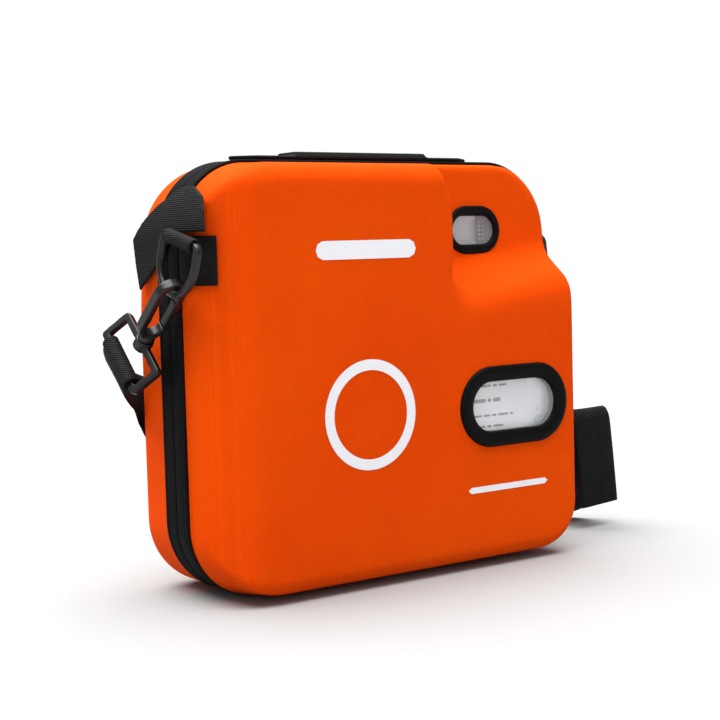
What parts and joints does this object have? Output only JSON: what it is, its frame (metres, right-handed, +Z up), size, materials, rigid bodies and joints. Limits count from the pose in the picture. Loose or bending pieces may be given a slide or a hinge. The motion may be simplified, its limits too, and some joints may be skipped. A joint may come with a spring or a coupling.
{
  "type": "defibrillator in carry case",
  "caption": "Automated external defibrillator in a moulded zip-round carry case with viewing windows, carry handle and clip-on shoulder strap.",
  "frame": {"origin": "on the base plane, under the middle of the seam between the two shells", "axes": "+X to the right seen from the front, -Y out of the front face, +Z up"},
  "size_m": [0.4264, 0.1341, 0.2858],
  "materials": {
    "shell_laminate": "matt stretch fabric laminated on moulded foam",
    "zip_tape": "fine woven tape",
    "zip_coil": "satin",
    "webbing": "ribbed polypropylene webbing",
    "hardware": "black acetal, semi-gloss",
    "bezel": "black rubbery frame",
    "clear_pane": "clear film",
    "foam": "closed-cell foam, brushed face",
    "mesh": "knitted mesh",
    "aed_casing": "fine-textured moulded casing",
    "aed_dark": "dark moulded plastic",
    "gasket": "soft seal",
    "zip_metal": "black enamel",
    "screws": "plain",
    "board": "solder mask",
    "component": "sleeved",
    "power_cap": "moulded button",
    "shock_cap": "moulded button",
    "display": "display module",
    "pouch": "foil pouch",
    "label": "printed film"
  },
  "bodies": {
    "rear": {"rear_shell": "shell_laminate", "zip_tape_rear": "zip_tape", "zip_coil_rear": "zip_coil", "hinge_leaf_rear": "zip_tape", "carry_handle": "webbing", "yoke_l": "webbing", "yoke_r": "webbing", "foam_cradle": "foam", "aed_front_casing": "aed_casing", "aed_rear_casing": "aed_casing", "casing_gasket": "gasket", "casing_screws": "screws", "main_board": "board", "battery_pack": "aed_dark", "capacitor": "component", "speaker": "aed_dark", "status_display": "display", "display_lens": "clear_pane", "pads_socket": "aed_dark", "power_switch": "aed_dark", "shock_switch": "aed_dark"},
    "lid": {"front_shell": "shell_laminate", "zip_tape_front": "zip_tape", "zip_coil_front": "zip_coil", "hinge_leaf_front": "zip_tape", "yoke_leg_front_l": "webbing", "status_bezel": "bezel", "status_pane": "clear_pane", "pads_bezel": "bezel", "pads_pane": "clear_pane", "mesh_pocket": "mesh", "pads_pouch": "pouch", "pouch_label": "label"},
    "strap": {"d_ring_l": "hardware", "ring_loop_l": "webbing", "hook_l": "hardware", "swivel_frame_l": "hardware", "d_ring_r": "hardware", "ring_loop_r": "webbing", "hook_r": "hardware", "swivel_frame_r": "hardware", "shoulder_strap": "webbing", "strap_end_l": "webbing", "strap_end_r": "webbing", "strap_tail": "webbing", "tri_glide": "hardware"},
    "gate_l": {"hook_gate_l": "hardware"},
    "gate_r": {"hook_gate_r": "hardware"},
    "slider": {"zip_slider": "zip_metal"},
    "pull": {"zip_pull": "zip_metal"},
    "power": {"power_button": "power_cap"},
    "shock": {"shock_button": "shock_cap"}
  },
  "joints": [
    {"name": "lid_hinge", "type": "hinge", "parent": "rear", "child": "lid", "pos_m": [0, 0, 0], "axis": [1, 0, 0], "range_deg": [0, 170]},
    {"name": "strap_swing", "type": "hinge", "parent": "rear", "child": "strap", "pos_m": [-0.1586, -0.033, 0.229], "axis": [0.9892, 0.1466, -0.0094], "range_deg": [0, 60]},
    {"name": "gate_l_turn", "type": "hinge", "parent": "strap", "child": "gate_l", "pos_m": [-0.15695, -0.00532, 0.17842], "axis": [0, -0.6712, -0.7413], "range_deg": [0, 20], "stiffness_Nm_per_rad": 0.05, "springref_deg": -11.46},
    {"name": "gate_r_turn", "type": "hinge", "parent": "strap", "child": "gate_r", "pos_m": [0.15725, 0.02417, 0.16597], "axis": [0, 0.9536, 0.3011], "range_deg": [0, 20], "stiffness_Nm_per_rad": 0.05, "springref_deg": -11.46},
    {"name": "zip_slide", "type": "slide", "parent": "rear", "child": "slider", "axis": [0, 0, 1], "range_m": [0, 0.1]},
    {"name": "zip_pull_swing", "type": "hinge", "parent": "slider", "child": "pull", "pos_m": [0.1562, 0, 0.052], "axis": [0, -1, 0], "range_deg": [0, 165]},
    {"name": "power_press", "type": "slide", "parent": "rear", "child": "power", "axis": [0, 1, 0], "range_m": [0, 0.002], "stiffness_N_per_m": 1500, "springref_m": -0.001},
    {"name": "shock_press", "type": "slide", "parent": "rear", "child": "shock", "axis": [0, 1, 0], "range_m": [0, 0.0025], "stiffness_N_per_m": 1500, "springref_m": -0.001}
  ]
}
